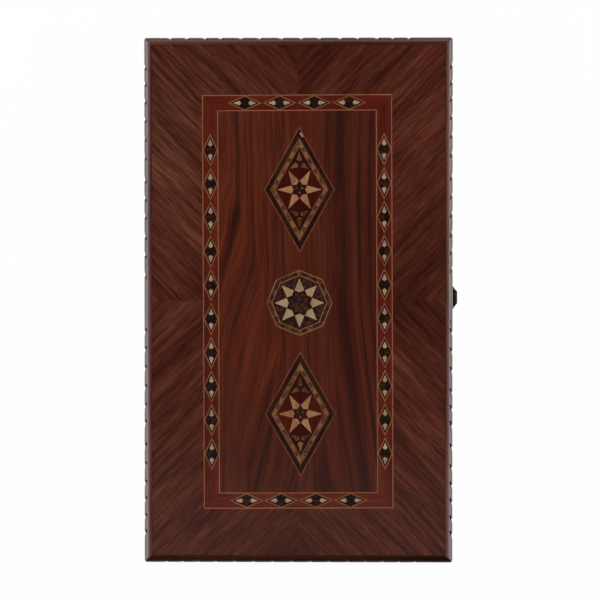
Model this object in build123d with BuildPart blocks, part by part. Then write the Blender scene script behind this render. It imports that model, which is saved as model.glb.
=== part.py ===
from build123d import *
import os
from math import atan2, cos, degrees, hypot, radians, sin

os.makedirs("parts", exist_ok=True)

# Backgammon board: two shallow trays of carved walnut that fold together into a case.
# Millimetres. The closed case lies flat: X across it from the hinges to the latch,
# Y along it, Z up. The origin is in the plane it rests on, under the middle of the case.

# Overall size of the closed case, without the hinge knuckles and the latch
board_width = 290.0
board_length = 491.0
half_height = 39.0

# Wooden frame of each half
wall = 20.0
joint_gap = 0.3
corner_radius = 2.5
rim_radius = 6.4
rim_width = 7.2
rim_proud = 0.3

# Panel and veneers
panel_core = 4.1
panel_gap = 0.3
veneer = 0.8
seam = 0.05

# Layout of the inlay on the outer faces
inlay_x = -0.5
inlay_y = -1.3
inlay_turn = 0.25
side_margin = 56.5
end_margin = 52.5
line = 0.9
band = 13.3

# Lozenges in the border band
side_lozenges = 10
end_lozenges = 4
side_lozenge_inset = 35.5
end_lozenge_inset = 23.7
lozenge_tip_gap = 0.7
lozenge_bite = 0.4
lozenge_frame = 1.0
lozenge_kite_inset = 5.15
lozenge_kite_shoulder = 5.0
lozenge_kite_half_width = 2.2
lozenge_kite_heel = 3.3

# Diamond medallions, from their outer edge inwards
medallion_half_width = 32.9
medallion_border_gap = 14.7
medallion_rosette_gap = 15.2
medallion_shift_x = 2.0
ebony_band = 4.05
rope = 2.7
slip = 0.9
slip_pitch = 1.6
slips_in_group = 3
medallion_groups = 4
medallion_rope_end = 4.0

# Six-pointed star in each medallion, and the small three-pointed one at each end of it
star_points = 6
star_tip_gap = 1.3
star_shoulder = 7.4
star_half_width = 3.8
star_heel = 5.4
core_gap = 0.2
chips = 3
chip_sides = 3
chip_radius = 1.7
chip_place = 2.9
divider = 0.8
divider_gap = 0.2
end_star_rise = 5.4
end_star_foot = 0.4
end_star_side_gap = 2.0
end_star_apex_gap = 3.6
end_star_shoulder = 3.0
end_star_half_width = 2.7
end_star_heel = 1.3

# Octagonal rosette
rosette_radius = 30.8
rosette_shift_x = 1.6
rosette_shift_y = -1.0
rosette_rope = 3.5
rosette_groups = 2
rosette_sides = 8
rosette_tip_gap = 1.8
rosette_shoulder = 11.9
rosette_half_width = 4.6
rosette_heel = 9.9
rosette_tile_gap = 0.7
rosette_tile_tip = 13.5
rosette_tile_half_base = 8.4
rosette_core_gap = 0.7

# Playing surface
points_in_row = 6
point_margin = 2.0
centre_strip = 80.0

# Butt hinges, let into the mating faces along the -X side
hinge_length = 38.0
hinge_inset = 95.0
hinge_axis_clearance = 0.3
leaf_width = 12.5
leaf_thickness = 1.2
knuckle_radius = 2.0
knuckles = 5
knuckle_gap = 0.3
knuckle_relief = 0.4
pin_radius = 0.95
running_clearance = 0.05
hinge_screws = 3
hinge_screw_pitch = 13.0
hinge_screw_place = 7.8
screw_radius = 1.15
screw_head_radius = 2.2
screw_length = 12.0
screw_clearance = 0.05
screw_slot = 0.5

# Latch in the middle of the +X side
latch_shift_y = 2.4
latch_width = 21.6
plate_thickness = 0.8
plate_height = 14.0
plate_corner_radius = 3.0
hasp_axis_out = 2.1
hasp_axis_rise = 9.0
hasp_knuckle_radius = 1.7
hasp_barrel_length = 14.0
hasp_knuckle_length = 6.0
hasp_knuckle_gap = 0.3
hasp_pin_radius = 0.8
hasp_back_gap = 0.4
hasp_depth = 4.7
hasp_taper = 48.0
hasp_height = 19.0
hasp_top_rise = 6.0
hasp_shell = 1.2
hasp_edge_radius = 0.7
web_thickness = 1.4
catch_width = 16.0
catch_top_drop = 1.5
catch_height = 19.5
nose_width = 5.2
nose_height = 4.0
nose_reach = 3.4
nose_drop = 9.0
nose_clearance = 0.5
nail_radius = 0.8
nail_head_radius = 1.7
nail_head_height = 0.8
nail_length = 9.0
plate_nail_rise = 9.0
plate_nail_spacing = 14.0
catch_nail_foot = 2.6
catch_nail_spacing = 11.0

# Worked out from the sizes above
closed_height = 2 * half_height
tray_width = board_width - 2 * wall
tray_length = board_length - 2 * wall
opening_width = board_width - 2 * rim_width
opening_length = board_length - 2 * rim_width
panel_width = opening_width - 2 * panel_gap
panel_length = opening_length - 2 * panel_gap
core_depth = rim_proud + veneer
rebate_depth = core_depth + panel_core
half_depth = half_height - joint_gap / 2
side_x = board_width / 2
axis_x = -side_x - hinge_axis_clearance
hinge_y = board_length / 2 - hinge_inset
hinge_places = [(axis_x, -hinge_y, half_height), (axis_x, hinge_y, half_height)]
centre = (inlay_x, inlay_y)


def face_plane(half, depth):
    """Plane parallel to a half's outer face, at a depth inside it."""
    return Plane.XY.offset(depth if half == "base" else closed_height - depth)


def inward(half):
    """Direction along Z from a half's outer face into the case."""
    return 1 if half == "base" else -1


def save(piece, name):
    """Label a finished piece and write its file."""
    piece.part.label = name
    export_step(piece.part, f"parts/{name}.step")


# Frame of each half: a ring with a rounded rim, cut into four walls at the mitres
def frame_ring(half):
    """The four walls of one half in one piece, rebated for the panel."""
    rim_row = 0 if half == "base" else -1
    with BuildPart() as ring:
        with BuildSketch(face_plane(half, 0)):
            RectangleRounded(board_width, board_length, corner_radius)
        extrude(amount=inward(half) * half_depth)
        for plane, across, along in (
            (Plane.XZ, board_width, board_length),
            (Plane.YZ, board_length, board_width),
        ):
            with BuildSketch(plane) as section:
                with Locations((0, half_height)):
                    Rectangle(across, closed_height)
                with Locations((0, closed_height if half == "base" else 0)):
                    Rectangle(across, closed_height, mode=Mode.SUBTRACT)
                fillet(section.vertices().group_by(Axis.Y)[rim_row], radius=rim_radius)
            extrude(amount=along, both=True, mode=Mode.INTERSECT)
        with BuildSketch(face_plane(half, 0)):
            Rectangle(tray_width, tray_length)
        extrude(amount=inward(half) * half_height, mode=Mode.SUBTRACT)
        with BuildSketch(face_plane(half, 0)):
            Rectangle(opening_width, opening_length)
        extrude(amount=inward(half) * rebate_depth, mode=Mode.SUBTRACT)
    return ring.part


def mitred_side(side):
    """Plan of one wall: from the outer edge in to the tray, with ends on the mitre lines."""
    outer_x = side_x + wall
    outer_y = board_length / 2 + wall
    inner_x = tray_width / 2
    inner_y = tray_length / 2
    outlines = {
        "hinge": ((-outer_x, -outer_y), (-inner_x, -inner_y), (-inner_x, inner_y), (-outer_x, outer_y)),
        "latch": ((outer_x, -outer_y), (outer_x, outer_y), (inner_x, inner_y), (inner_x, -inner_y)),
        "front": ((-outer_x, -outer_y), (outer_x, -outer_y), (inner_x, -inner_y), (-inner_x, -inner_y)),
        "rear": ((-outer_x, outer_y), (-inner_x, inner_y), (inner_x, inner_y), (outer_x, outer_y)),
    }
    return outlines[side]


def leaf_sign(half):
    """Side of the joint plane on which a half lies: the base below it, the lid above it."""
    return -inward(half)


def hinge_screw_places(half):
    """Centres of the screw heads' top faces, in the face of the leaf that meets the joint."""
    top = half_height + leaf_sign(half) * joint_gap / 2
    return [
        (axis_x + hinge_screw_place, y + (row - (hinge_screws - 1) / 2) * hinge_screw_pitch, top)
        for _, y, _ in hinge_places
        for row in range(hinge_screws)
    ]


def into_wood(half, places):
    """Locations whose own -Z points into a half's wall from its mating face."""
    turn = (0, 0, 0) if half == "base" else (180, 0, 0)
    return [Location(place, turn) for place in places]


def cut_hinge_seats(half):
    """Grooves for the knuckles, mortises for the leaves and pilot holes for their screws."""
    below = Align.MAX if half == "base" else Align.MIN
    with Locations(*hinge_places):
        Cylinder(
            knuckle_radius + knuckle_relief,
            hinge_length + 2 * knuckle_relief,
            rotation=(90, 0, 0),
            mode=Mode.SUBTRACT,
        )
        with Locations((0, 0, leaf_sign(half) * joint_gap / 2)):
            Box(
                leaf_width,
                hinge_length,
                leaf_thickness,
                align=(Align.MIN, Align.CENTER, below),
                mode=Mode.SUBTRACT,
            )
    with Locations(*into_wood(half, hinge_screw_places(half))):
        Cylinder(
            screw_radius,
            screw_length,
            align=(Align.CENTER, Align.CENTER, Align.MAX),
            mode=Mode.SUBTRACT,
        )


def nail_places(half):
    """Centres of the nail heads' undersides, on the outer face of the latch's two plates."""
    x = side_x + plate_thickness
    z = half_height + hasp_axis_rise + plate_nail_rise
    spacing = plate_nail_spacing
    if half == "base":
        z = half_height - catch_top_drop - catch_height + catch_nail_foot
        spacing = catch_nail_spacing
    return [(x, latch_shift_y + side * spacing / 2, z) for side in (-1, 1)]


def nail_locations(half):
    """Locations at the nail heads whose own Z points out of the case, along +X."""
    return [Location(place, (0, 90, 0)) for place in nail_places(half)]


def nail_shanks(mode):
    """One nail's shank at each current location, from the plate's face into the wall."""
    Cylinder(nail_radius, nail_length, align=(Align.CENTER, Align.CENTER, Align.MAX), mode=mode)


for half in ("base", "lid"):
    ring_part = frame_ring(half)
    for side in ("front", "rear", "hinge", "latch"):
        with BuildPart() as wall_piece:
            add(ring_part)
            with BuildSketch():
                Polygon(*mitred_side(side), align=None)
            extrude(amount=closed_height, mode=Mode.INTERSECT)
            if side == "hinge":
                cut_hinge_seats(half)
            if side == "latch":
                with Locations(*nail_locations(half)):
                    nail_shanks(Mode.SUBTRACT)
        save(wall_piece, f"{half}_{side}_wall")


# Outlines of the inlay, all drawn flat on the XY plane
def kites(places, tip, shoulder, half_width, heel):
    """Kite-shaped tiles that point along +X of each place."""
    with BuildSketch() as tiles:
        with Locations(*places):
            Polygon((heel, 0), (shoulder, -half_width), (tip, 0), (shoulder, half_width), align=None)
    return tiles.sketch


def around(centres, turns):
    """A place at each centre for each turn, in degrees from +X."""
    return [Location((x, y, 0), (0, 0, turn)) for x, y in centres for turn in turns]


def rhombus(centres, half_width, half_height_y):
    """Diamonds with these half diagonals."""
    with BuildSketch() as diamonds:
        with Locations(*centres):
            Polygon((half_width, 0), (0, half_height_y), (-half_width, 0), (0, -half_height_y))
    return diamonds.sketch


def octagon(radius):
    """Eight-sided outline about the rosette's centre, with a corner on each axis."""
    with BuildSketch() as shape:
        with Locations(rosette_centre):
            RegularPolygon(radius, rosette_sides)
    return shape.sketch


def frame(width, length, thickness):
    """Rectangular frame about the inlay's centre, measured over its outer edges."""
    with BuildSketch() as outline:
        with Locations(centre):
            Rectangle(width, length)
            Rectangle(width - 2 * thickness, length - 2 * thickness, mode=Mode.SUBTRACT)
    return outline.sketch


def cut_from(shape, *tools):
    """A flat outline less the others that are let into it."""
    with BuildSketch() as rest:
        add(shape)
        for tool in tools:
            add(tool, mode=Mode.SUBTRACT)
    return rest.sketch


def joined(*shapes):
    """Flat outlines that share one piece of veneer or one node."""
    with BuildSketch() as group:
        for shape in shapes:
            add(shape)
    return group.sketch


def turned(outline):
    """An outline of the inlay, turned with it: it lies a hair out of square with the case."""
    return outline.rotate(Axis.Z, inlay_turn)


# Border: an outer and an inner line with the band between them
outer_width = board_width - 2 * side_margin
outer_length = board_length - 2 * end_margin
band_width = outer_width - 2 * line
band_length = outer_length - 2 * line
inner_width = band_width - 2 * band
inner_length = band_length - 2 * band
centre_width = inner_width - 2 * line
centre_length = inner_length - 2 * line

side_pitch = (outer_length - 2 * side_lozenge_inset) / side_lozenges
end_pitch = (outer_width - 2 * end_lozenge_inset) / end_lozenges
band_mid_x = (band_width + inner_width) / 4
band_mid_y = (band_length + inner_length) / 4
side_rows = [(row - (side_lozenges - 1) / 2) * side_pitch for row in range(side_lozenges)]
end_rows = [(row - (end_lozenges - 1) / 2) * end_pitch for row in range(end_lozenges)]
side_places = [(inlay_x + edge * band_mid_x, inlay_y + y) for edge in (-1, 1) for y in side_rows]
end_places = [(inlay_x + x, inlay_y + edge * band_mid_y) for edge in (-1, 1) for x in end_rows]
side_turns = (90, 270)
end_turns = (0, 180)
lozenge_half_width = band / 2 + lozenge_bite


def lozenges(inset):
    """All lozenges of the border, drawn in by an inset from their outer edges."""
    shapes = []
    for places, pitch, upright in ((side_places, side_pitch, True), (end_places, end_pitch, False)):
        long = (pitch - lozenge_tip_gap) / 2
        share = 1 - inset * hypot(long, lozenge_half_width) / (long * lozenge_half_width)
        across = lozenge_half_width * share
        along = long * share
        shapes.append(rhombus(places, across, along) if upright else rhombus(places, along, across))
    return joined(*shapes)


def lozenge_points():
    """The two kites in each lozenge, pointing to its ends."""
    shapes = []
    for places, pitch, turns in ((side_places, side_pitch, side_turns), (end_places, end_pitch, end_turns)):
        tip = (pitch - lozenge_tip_gap) / 2 - lozenge_kite_inset
        shapes.append(
            kites(
                around(places, turns),
                tip,
                lozenge_kite_shoulder,
                lozenge_kite_half_width,
                lozenge_kite_heel,
            )
        )
    return joined(*shapes)


lozenge_outlines = lozenges(0)
lozenge_windows = lozenges(lozenge_frame)
lozenge_kites = lozenge_points()
lozenge_frames = cut_from(lozenge_outlines, lozenge_windows)
lozenge_grounds = cut_from(lozenge_windows, lozenge_kites)
outer_line = cut_from(frame(outer_width, outer_length, line), lozenge_outlines)
inner_line = cut_from(frame(inner_width, inner_length, line), lozenge_outlines)
stringing = joined(outer_line, inner_line)

with BuildSketch() as mitre_seams:
    for edge_x in (-1, 1):
        for edge_y in (-1, 1):
            with Locations((inlay_x + edge_x * band_mid_x, inlay_y + edge_y * band_mid_y)):
                Rectangle(2 * band, seam, rotation=45 * edge_x * edge_y)
border_band = cut_from(frame(band_width, band_length, band), lozenge_outlines, mitre_seams.sketch)

# Outer field: four leaves of veneer that meet on the case's centre lines
with BuildSketch() as inlay_window:
    with Locations(centre):
        Rectangle(outer_width, outer_length)
with BuildSketch() as field_sheet:
    Rectangle(panel_width, panel_length)
    add(turned(inlay_window.sketch), mode=Mode.SUBTRACT)
    Rectangle(seam, board_length, mode=Mode.SUBTRACT)
    Rectangle(board_width, seam, mode=Mode.SUBTRACT)
outer_field = field_sheet.sketch

# Medallions: concentric diamonds, each set in from the last by a width across its edge
rosette_centre = (inlay_x + rosette_shift_x, inlay_y + rosette_shift_y)
medallion_half_length = (
    centre_length / 2 - medallion_border_gap - medallion_rosette_gap - rosette_radius
) / 2
medallion_offset = rosette_radius + medallion_rosette_gap + medallion_half_length
medallion_centres = [(inlay_x + medallion_shift_x, inlay_y + end * medallion_offset) for end in (-1, 1)]
edge_length = hypot(medallion_half_width, medallion_half_length)
edge_distance = medallion_half_width * medallion_half_length / edge_length


def diamond_size(inset):
    """Half diagonals of a medallion's diamond, set in by a width across its edge."""
    share = 1 - inset / edge_distance
    return medallion_half_width * share, medallion_half_length * share


def diamond(inset):
    """Diamonds of both medallions, set in by a width across their edges."""
    return rhombus(medallion_centres, *diamond_size(inset))


ebony_inset = line
second_line_inset = ebony_inset + ebony_band
rope_inset = second_line_inset + line
third_line_inset = rope_inset + rope
ground_inset = third_line_inset + line
diamonds = {
    inset: diamond(inset)
    for inset in (0, ebony_inset, second_line_inset, rope_inset, third_line_inset, ground_inset)
}


def slip_places(centres, corners, groups, end_gap):
    """Places of the dark slips along each edge of a ring of corners about each centre."""
    places = []
    for start, end in zip(corners, corners[1:] + corners[:1]):
        along = (end[0] - start[0], end[1] - start[1])
        length = hypot(*along)
        unit = (along[0] / length, along[1] / length)
        turn = degrees(atan2(unit[1], unit[0]))
        pitch = (length - end_gap) / groups
        for group in range(groups):
            for mark in range(slips_in_group):
                reach = length / 2
                reach += (group - (groups - 1) / 2) * pitch
                reach += (mark - (slips_in_group - 1) / 2) * slip_pitch
                x = start[0] + unit[0] * reach
                y = start[1] + unit[1] * reach
                places += [Location((cx + x, cy + y, 0), (0, 0, turn)) for cx, cy in centres]
    return places


def slips(places, length):
    """Slips of dark veneer set across a light one."""
    with BuildSketch() as marks:
        with Locations(*places):
            Rectangle(slip, length)
    return marks.sketch


rope_x, rope_y = diamond_size(rope_inset + rope / 2)
medallion_corners = [(rope_x, 0), (0, rope_y), (-rope_x, 0), (0, -rope_y)]
medallion_slips = slips(
    slip_places(medallion_centres, medallion_corners, medallion_groups, medallion_rope_end),
    rope,
)

ground_x, ground_y = diamond_size(ground_inset)
star_turns = [turn * 360 / star_points for turn in range(star_points)]
slant = radians(star_turns[1])
core_turn = star_turns[1] / 2
slant_reach = 1 / (cos(slant) / ground_x + sin(slant) / ground_y)
star_tip = min(ground_x, slant_reach) - star_tip_gap
star_kites = kites(
    around(medallion_centres, star_turns),
    star_tip,
    star_shoulder,
    star_half_width,
    star_heel,
)

core_apothem = star_heel - core_gap
with BuildSketch() as core_sketch:
    with Locations(*around(medallion_centres, (core_turn,))):
        RegularPolygon(core_apothem / cos(radians(core_turn)), star_points)
with BuildSketch() as chip_sketch:
    for chip in range(chips):
        turn = radians(core_turn + chip * 360 / chips)
        chip_x = chip_place * cos(turn)
        chip_y = chip_place * sin(turn)
        with Locations(*[(x + chip_x, y + chip_y) for x, y in medallion_centres]):
            RegularPolygon(chip_radius, chip_sides, rotation=90)
star_cores = cut_from(core_sketch.sketch, chip_sketch.sketch)

divider_y = star_tip * sin(slant) + divider_gap
divider_top = divider_y + divider


def ground_half_width(y):
    """Half the width of a medallion's ground at a distance from its middle."""
    return ground_x * (1 - y / ground_y)


with BuildSketch() as divider_sketch:
    for end in (-1, 1):
        with Locations(*[(x, y + end * (divider_y + divider / 2)) for x, y in medallion_centres]):
            Rectangle(2 * ground_half_width(divider_top), divider)
dividers = divider_sketch.sketch

end_star_y = divider_top + end_star_rise
foot_drop = end_star_rise - end_star_foot
foot_x = ground_half_width(divider_top + end_star_foot) - end_star_side_gap
foot_tip = hypot(foot_x, foot_drop)
foot_turn = degrees(atan2(foot_drop, foot_x))
apex_tip = ground_y - end_star_apex_gap - end_star_y
end_tiles = []
for end in (-1, 1):
    end_centres = [(x, y + end * end_star_y) for x, y in medallion_centres]
    apex_places = around(end_centres, (90 * end,))
    foot_places = around(end_centres, (-foot_turn * end, 180 + foot_turn * end))
    end_tiles.append(kites(apex_places, apex_tip, end_star_shoulder, end_star_half_width, end_star_heel))
    end_tiles.append(kites(foot_places, foot_tip, end_star_shoulder, end_star_half_width, end_star_heel))
mosaic_tiles = joined(*end_tiles, chip_sketch.sketch)

medallion_rings = joined(
    cut_from(diamonds[0], diamonds[ebony_inset]),
    cut_from(diamonds[second_line_inset], diamonds[rope_inset]),
    cut_from(diamonds[third_line_inset], diamonds[ground_inset]),
)
medallion_bands = cut_from(diamonds[ebony_inset], diamonds[second_line_inset])
medallion_ebony = joined(medallion_bands, dividers, star_cores)
medallion_rope = cut_from(diamonds[rope_inset], diamonds[third_line_inset], medallion_slips)
medallion_grounds = cut_from(
    diamonds[ground_inset],
    star_kites,
    core_sketch.sketch,
    dividers,
    *end_tiles,
)

# Rosette: an eight-pointed star in an octagon
side_share = cos(radians(180 / rosette_sides))
rosette_line = line / side_share
rosette_rope_radius = rosette_radius - rosette_line
rosette_inner_radius = rosette_rope_radius - rosette_rope / side_share
rosette_ground_radius = rosette_inner_radius - rosette_line
rosette_slip_radius = (rosette_rope_radius + rosette_inner_radius) / 2
rosette_turns = [turn * 360 / rosette_sides for turn in range(rosette_sides)]
rosette_corners = [
    (rosette_slip_radius * cos(radians(turn)), rosette_slip_radius * sin(radians(turn)))
    for turn in rosette_turns
]
rosette_slips = slips(
    slip_places([rosette_centre], rosette_corners, rosette_groups, 0),
    rosette_rope,
)
rosette_outline = octagon(rosette_radius)
rosette_rope_outline = octagon(rosette_rope_radius)
rosette_inner_outline = octagon(rosette_inner_radius)
rosette_ground_outline = octagon(rosette_ground_radius)
rosette_kites = kites(
    around([rosette_centre], rosette_turns),
    rosette_ground_radius - rosette_tip_gap,
    rosette_shoulder,
    rosette_half_width,
    rosette_heel,
)
tile_base = rosette_ground_radius * side_share - rosette_tile_gap
tile_turns = [turn + 180 / rosette_sides for turn in rosette_turns]
with BuildSketch() as rosette_tile_sketch:
    with Locations(*around([rosette_centre], tile_turns)):
        Polygon(
            (rosette_tile_tip, 0),
            (tile_base, -rosette_tile_half_base),
            (tile_base, rosette_tile_half_base),
            align=None,
        )
    with Locations(rosette_centre):
        RegularPolygon(rosette_heel - rosette_core_gap, rosette_sides, rotation=180 / rosette_sides)
rosette_tiles = rosette_tile_sketch.sketch
rosette_rings = joined(
    cut_from(rosette_outline, rosette_rope_outline),
    cut_from(rosette_inner_outline, rosette_ground_outline),
)
rosette_rope_shape = cut_from(rosette_rope_outline, rosette_inner_outline, rosette_slips)
rosette_ground = cut_from(rosette_ground_outline, rosette_kites, rosette_tiles)

# Centre veneer: two leaves that meet on the inlay's centre line
with BuildSketch() as centre_sheet:
    with Locations(centre):
        Rectangle(centre_width, centre_length)
        Rectangle(seam, centre_length, mode=Mode.SUBTRACT)
centre_veneer = cut_from(centre_sheet.sketch, diamonds[0], rosette_outline)

# Playing surface: six points from each end of a tray
point_pitch = tray_width / points_in_row
point_length = (tray_length - centre_strip) / 2
point_half_width = point_pitch / 2 - point_margin


def points(parity):
    """Every second point of a tray, those at the two ends alternating."""
    with BuildSketch() as row:
        for end in (-1, 1):
            first = parity if end == 1 else 1 - parity
            for place in range(first, points_in_row, 2):
                x = (place - (points_in_row - 1) / 2) * point_pitch
                with Locations((x, end * tray_length / 2)):
                    Polygon(
                        (-point_half_width, 0),
                        (point_half_width, 0),
                        (0, -end * point_length),
                        align=None,
                    )
    return row.sketch


even_points = points(0)
odd_points = points(1)
with BuildSketch() as tray_sheet:
    Rectangle(tray_width, tray_length)
inner_field = cut_from(tray_sheet.sketch, even_points, odd_points)


# Each piece of veneer cut to its outline, in the face of each half
def veneer_piece(half, name, outline, depth):
    """One node of veneer, a veneer's thickness deep from its depth inside the face."""
    with BuildPart() as piece:
        with BuildSketch(face_plane(half, depth)):
            add(outline)
        extrude(amount=inward(half) * veneer)
    save(piece, f"{half}_{name}")


inlay_pieces = {
    "stringing": stringing,
    "border_band": border_band,
    "lozenge_frames": lozenge_frames,
    "lozenge_grounds": lozenge_grounds,
    "lozenge_kites": lozenge_kites,
    "centre_veneer": centre_veneer,
    "medallion_lines": joined(medallion_rings, rosette_rings),
    "medallion_ebony": medallion_ebony,
    "rope_banding": joined(medallion_rope, rosette_rope_shape),
    "rope_slips": joined(medallion_slips, rosette_slips),
    "medallion_grounds": medallion_grounds,
    "star_kites": joined(star_kites, rosette_kites),
    "mosaic_tiles": mosaic_tiles,
    "rosette_ground": rosette_ground,
    "rosette_tiles": rosette_tiles,
}

for half in ("base", "lid"):
    veneer_piece(half, "outer_field", outer_field, rim_proud)
    for name, outline in inlay_pieces.items():
        veneer_piece(half, name, turned(outline), rim_proud)
    veneer_piece(half, "inner_field", inner_field, rebate_depth)
    veneer_piece(half, "light_points", even_points if half == "base" else odd_points, rebate_depth)
    veneer_piece(half, "dark_points", odd_points if half == "base" else even_points, rebate_depth)
    with BuildPart() as panel:
        with BuildSketch(face_plane(half, core_depth)):
            Rectangle(panel_width, panel_length)
        extrude(amount=inward(half) * panel_core)
    save(panel, f"{half}_panel")


# Hinges: the base's leaves carry the odd knuckles and hold the pins
knuckle_pitch = hinge_length / knuckles


def knuckle_places(first):
    """Middles of every second knuckle of both hinges, from the first one given."""
    return [
        (axis_x, y + (spot - (knuckles - 1) / 2) * knuckle_pitch, half_height)
        for _, y, _ in hinge_places
        for spot in range(first, knuckles, 2)
    ]


def hinge_leaves(half, own_first, bore_radius):
    """Both hinges' leaves of one half, with their knuckles, bores and screw holes."""
    below = Align.MAX if half == "base" else Align.MIN
    with BuildPart() as leaves:
        with Locations(*hinge_places):
            with Locations((0, 0, leaf_sign(half) * joint_gap / 2)):
                Box(leaf_width, hinge_length, leaf_thickness, align=(Align.MIN, Align.CENTER, below))
        with Locations(*knuckle_places(1 - own_first)):
            Cylinder(
                knuckle_radius + knuckle_relief,
                knuckle_pitch + knuckle_gap,
                rotation=(90, 0, 0),
                mode=Mode.SUBTRACT,
            )
        with Locations(*knuckle_places(own_first)):
            Cylinder(knuckle_radius, knuckle_pitch - knuckle_gap, rotation=(90, 0, 0))
        with Locations(*hinge_places):
            Cylinder(bore_radius, hinge_length, rotation=(90, 0, 0), mode=Mode.SUBTRACT)
        with Locations(*into_wood(half, hinge_screw_places(half))):
            CounterSinkHole(
                screw_radius + screw_clearance,
                screw_head_radius + screw_clearance,
                depth=2 * leaf_thickness,
                counter_sink_angle=90,
            )
    return leaves


def hinge_screw_set(half):
    """Slotted countersunk screws of one half's leaves."""
    head_height = screw_head_radius - screw_radius
    with BuildPart() as screws:
        with Locations(*into_wood(half, hinge_screw_places(half))):
            Cylinder(screw_radius, screw_length, align=(Align.CENTER, Align.CENTER, Align.MAX))
            Cone(
                screw_radius,
                screw_head_radius,
                head_height,
                align=(Align.CENTER, Align.CENTER, Align.MAX),
            )
            Box(
                2 * screw_head_radius,
                screw_slot,
                2 * screw_slot,
                mode=Mode.SUBTRACT,
            )
    return screws


save(hinge_leaves("base", 0, pin_radius), "base_hinge_leaves")
save(hinge_leaves("lid", 1, pin_radius + running_clearance), "lid_hinge_leaves")
save(hinge_screw_set("base"), "base_hinge_screws")
save(hinge_screw_set("lid"), "lid_hinge_screws")

with BuildPart() as hinge_pins:
    with Locations(*hinge_places):
        Cylinder(pin_radius, hinge_length, rotation=(90, 0, 0))
save(hinge_pins, "hinge_pins")


# Latch: a plate on the lid, a hollow hasp that swings from it, a catch on the base
hasp_axis = (side_x + hasp_axis_out, latch_shift_y, half_height + hasp_axis_rise)
ear_length = (hasp_barrel_length - hasp_knuckle_length) / 2 - hasp_knuckle_gap
ear_offset = (hasp_barrel_length - ear_length) / 2

with BuildPart() as latch_plate:
    with Locations((side_x, latch_shift_y, hasp_axis[2])):
        Box(
            plate_thickness,
            latch_width,
            plate_height,
            align=(Align.MIN, Align.CENTER, Align.MIN),
        )
    fillet(latch_plate.edges().filter_by(Axis.X).group_by(Axis.Z)[-1], radius=plate_corner_radius)
    with Locations(hasp_axis):
        Cylinder(
            hasp_knuckle_radius + knuckle_relief,
            hasp_knuckle_length + 2 * hasp_knuckle_gap,
            rotation=(90, 0, 0),
            mode=Mode.SUBTRACT,
        )
        with Locations((0, -ear_offset, 0), (0, ear_offset, 0)):
            Cylinder(hasp_knuckle_radius, ear_length, rotation=(90, 0, 0))
        Cylinder(hasp_pin_radius, hasp_barrel_length, rotation=(90, 0, 0), mode=Mode.SUBTRACT)
    with Locations(*nail_locations("lid")):
        nail_shanks(Mode.SUBTRACT)
save(latch_plate, "latch_plate")

with BuildPart() as hasp_pin:
    with Locations(hasp_axis):
        Cylinder(hasp_pin_radius, hasp_barrel_length, rotation=(90, 0, 0))
save(hasp_pin, "hasp_pin")

hasp_back = side_x + plate_thickness + hasp_back_gap
hasp_top = half_height + hasp_top_rise
hasp_middle = (latch_shift_y, hasp_top - hasp_height / 2)
shell_inset = hasp_shell / cos(radians(hasp_taper))
nose_z = half_height - nose_drop
notch_width = nose_width + 2 * nose_clearance
notch_depth = plate_thickness + nose_reach + nose_clearance

with BuildPart() as hasp:
    with BuildSketch(Plane.YZ.offset(hasp_back)):
        with Locations(hasp_middle):
            Rectangle(latch_width, hasp_height)
    extrude(amount=hasp_depth, taper=hasp_taper)
    fillet(hasp.faces().sort_by(Axis.X)[-1].edges(), radius=hasp_edge_radius)
    with BuildSketch(Plane.YZ.offset(hasp_back)):
        with Locations(hasp_middle):
            Rectangle(latch_width - 2 * shell_inset, hasp_height - 2 * shell_inset)
    extrude(amount=hasp_depth - hasp_shell, taper=hasp_taper, mode=Mode.SUBTRACT)
    with Locations((side_x, latch_shift_y, hasp_top - hasp_height)):
        Box(
            notch_depth,
            notch_width,
            nose_z + nose_height + nose_clearance - (hasp_top - hasp_height),
            align=(Align.MIN, Align.CENTER, Align.MIN),
            mode=Mode.SUBTRACT,
        )
    with Locations((hasp_back, latch_shift_y, hasp_axis[2])):
        Box(
            web_thickness,
            hasp_knuckle_length,
            hasp_axis_rise - hasp_top_rise + shell_inset / 2,
            align=(Align.MIN, Align.CENTER, Align.MAX),
        )
    with Locations(hasp_axis):
        Cylinder(hasp_knuckle_radius, hasp_knuckle_length, rotation=(90, 0, 0))
        Cylinder(
            hasp_pin_radius + running_clearance,
            hasp_knuckle_length,
            rotation=(90, 0, 0),
            mode=Mode.SUBTRACT,
        )
save(hasp, "hasp")

with BuildPart() as catch_plate:
    with Locations((side_x, latch_shift_y, half_height - catch_top_drop)):
        Box(
            plate_thickness,
            catch_width,
            catch_height,
            align=(Align.MIN, Align.CENTER, Align.MAX),
        )
    fillet(catch_plate.edges().filter_by(Axis.X).group_by(Axis.Z)[0], radius=plate_corner_radius)
    with Locations((side_x + plate_thickness, latch_shift_y, nose_z)):
        Box(nose_reach, nose_width, nose_height, align=(Align.MIN, Align.CENTER, Align.MIN))
    fillet(catch_plate.faces().sort_by(Axis.X)[-1].edges(), radius=hasp_edge_radius)
    with Locations(*nail_locations("base")):
        nail_shanks(Mode.SUBTRACT)
save(catch_plate, "catch_plate")


def latch_nails(half):
    """Round-headed nails through one of the latch's plates."""
    with BuildPart() as nails:
        with Locations(*nail_locations(half)):
            nail_shanks(Mode.ADD)
            Cylinder(
                nail_head_radius,
                nail_head_height,
                align=(Align.CENTER, Align.CENTER, Align.MIN),
            )
        fillet(nails.faces().group_by(Axis.X)[-1].edges(), radius=nail_head_height / 2)
    return nails


save(latch_nails("lid"), "latch_plate_nails")
save(latch_nails("base"), "catch_nails")
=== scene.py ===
import math
from collections import namedtuple

import bmesh
import bpy
import numpy as np
from mathutils import Matrix, Vector, noise


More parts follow.
